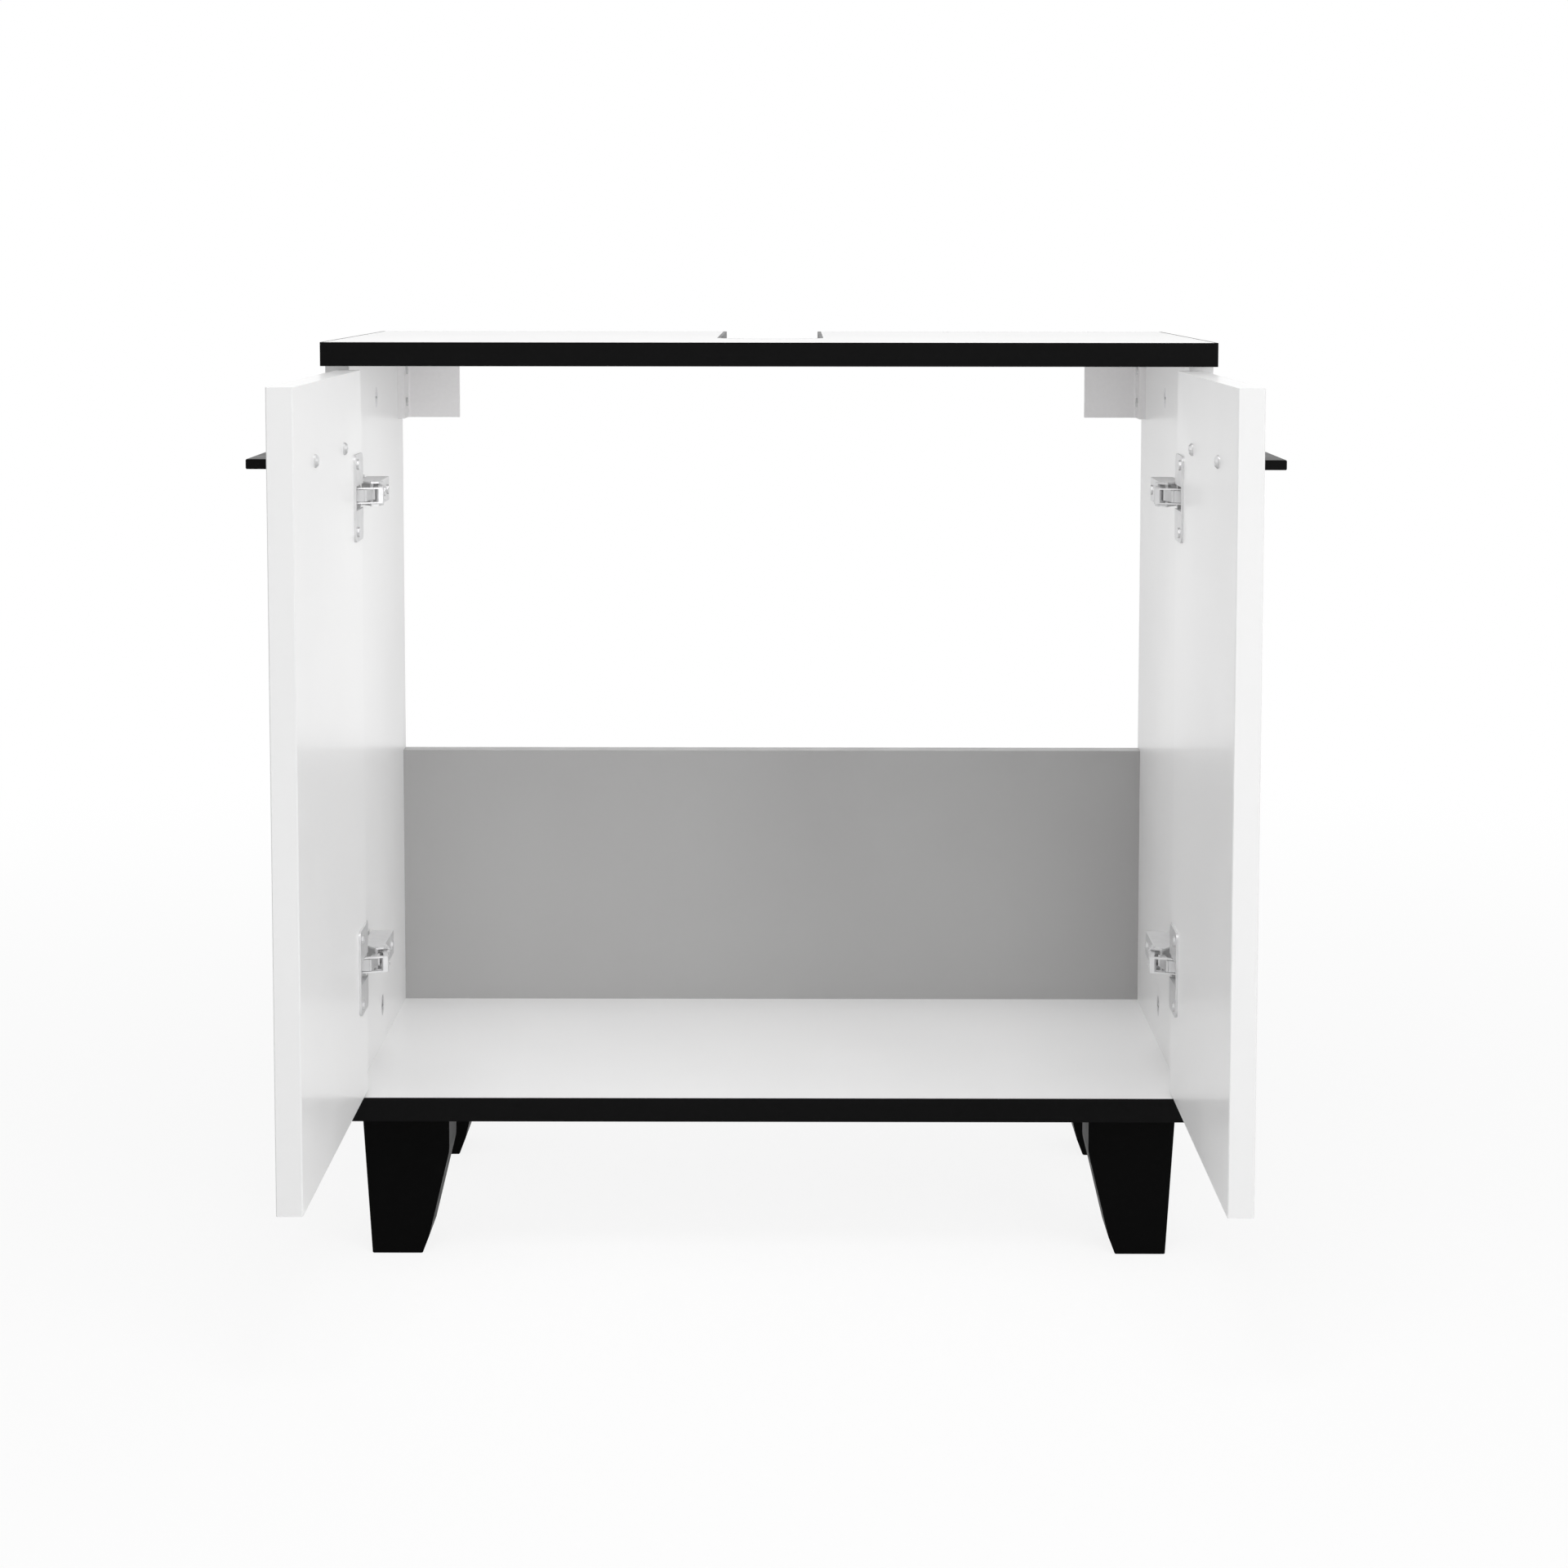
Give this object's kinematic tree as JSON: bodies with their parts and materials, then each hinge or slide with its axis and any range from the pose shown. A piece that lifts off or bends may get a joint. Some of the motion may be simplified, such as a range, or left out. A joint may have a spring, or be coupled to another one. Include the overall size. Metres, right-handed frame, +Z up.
{
  "type": "sink base cabinet",
  "caption": "Free-standing sink base cabinet with two hinged doors on concealed cup hinges, ledge handles, a siphon cut-out in the top, an open rear and tapered legs.",
  "frame": {"origin": "on the floor, under the middle of the bounding box of the cabinet with its doors open", "axes": "+Z up, front of the cabinet towards -Y, +X to the right as seen from the front"},
  "size_m": [0.623, 0.6236, 0.6285],
  "materials": {
    "white_board": "white satin foil on chipboard",
    "gloss_side_board": "white high-gloss foil on chipboard",
    "gloss_door_board": "white high-gloss foil on fibreboard",
    "black_edge_band": "black satin edge band",
    "black_leg": "black satin moulding",
    "black_handle": "black satin coat",
    "grey_back_board": "light grey foil on chipboard",
    "grey_trim": "light grey satin extrusion",
    "white_bracket": "white satin moulding",
    "dowel_wood": "plain beech",
    "zinc_fitting": "zinc plated",
    "screw_steel": "zinc plated",
    "hinge_steel": "nickel plated, satin"
  },
  "bodies": {
    "carcass": {"back_panel": "grey_back_board", "back_panel_dowels": "dowel_wood", "bottom_edge_band": "black_edge_band", "bottom_panel": "white_board", "cam_bolts": "zinc_fitting", "cam_discs": "zinc_fitting", "carcass_dowels": "dowel_wood", "corner_bracket_screws": "screw_steel", "cutout_trim": "grey_trim", "front_left_leg": "black_leg", "front_right_leg": "black_leg", "left_arm_pins": "hinge_steel", "left_arm_screws": "screw_steel", "left_corner_bracket": "white_bracket", "left_lower_hinge_arm": "hinge_steel", "left_lower_mounting_plate": "hinge_steel", "left_plate_screws": "screw_steel", "left_side_panel": "gloss_side_board", "left_upper_hinge_arm": "hinge_steel", "left_upper_mounting_plate": "hinge_steel", "leg_screws": "screw_steel", "rear_left_leg": "black_leg", "rear_right_leg": "black_leg", "right_arm_pins": "hinge_steel", "right_arm_screws": "screw_steel", "right_corner_bracket": "white_bracket", "right_lower_hinge_arm": "hinge_steel", "right_lower_mounting_plate": "hinge_steel", "right_plate_screws": "screw_steel", "right_side_panel": "gloss_side_board", "right_upper_hinge_arm": "hinge_steel", "right_upper_mounting_plate": "hinge_steel", "top_edge_band": "black_edge_band", "top_panel": "white_board"},
    "left_inner_links": {"left_inner_links": "hinge_steel"},
    "left_door": {"left_cup_pins": "hinge_steel", "left_cup_screws": "screw_steel", "left_door_panel": "gloss_door_board", "left_handle": "black_handle", "left_handle_screws": "screw_steel", "left_lower_hinge_cup": "hinge_steel", "left_upper_hinge_cup": "hinge_steel"},
    "left_outer_links": {"left_outer_links": "hinge_steel"},
    "right_inner_links": {"right_inner_links": "hinge_steel"},
    "right_door": {"right_cup_pins": "hinge_steel", "right_cup_screws": "screw_steel", "right_door_panel": "gloss_door_board", "right_handle": "black_handle", "right_handle_screws": "screw_steel", "right_lower_hinge_cup": "hinge_steel", "right_upper_hinge_cup": "hinge_steel"},
    "right_outer_links": {"right_outer_links": "hinge_steel"}
  },
  "joints": [
    {"name": "left_inner_link_swing", "type": "hinge", "parent": "carcass", "child": "left_inner_links", "pos_m": [-0.2692, -0.00462, 0.3655], "axis": [0, 0, 1], "range_deg": [-26.8, 1.5]},
    {"name": "left_door_swing", "type": "hinge", "parent": "left_inner_links", "child": "left_door", "pos_m": [-0.2807, -0.02477, 0.3655], "axis": [0, 0, 1], "range_deg": [-6.48, 116.73]},
    {"name": "left_outer_link_swing", "type": "hinge", "parent": "left_door", "child": "left_outer_links", "pos_m": [-0.2773, -0.02477, 0.3655], "axis": [0, 0, 1], "range_deg": [-122, 6.9]},
    {"name": "right_inner_link_swing", "type": "hinge", "parent": "carcass", "child": "right_inner_links", "pos_m": [0.2692, -0.00462, 0.3655], "axis": [0, 0, -1], "range_deg": [-26.8, 1.5]},
    {"name": "right_door_swing", "type": "hinge", "parent": "right_inner_links", "child": "right_door", "pos_m": [0.2807, -0.02477, 0.3655], "axis": [0, 0, -1], "range_deg": [-6.48, 116.73]},
    {"name": "right_outer_link_swing", "type": "hinge", "parent": "right_door", "child": "right_outer_links", "pos_m": [0.2773, -0.02477, 0.3655], "axis": [0, 0, -1], "range_deg": [-122, 6.9]}
  ],
  "couplings": [
    {"joint": "left_inner_link_swing", "follows": "left_door_swing", "ratio": -0.229},
    {"joint": "left_outer_link_swing", "follows": "left_door_swing", "ratio": -1.0447},
    {"joint": "right_inner_link_swing", "follows": "right_door_swing", "ratio": -0.229},
    {"joint": "right_outer_link_swing", "follows": "right_door_swing", "ratio": -1.0447}
  ]
}
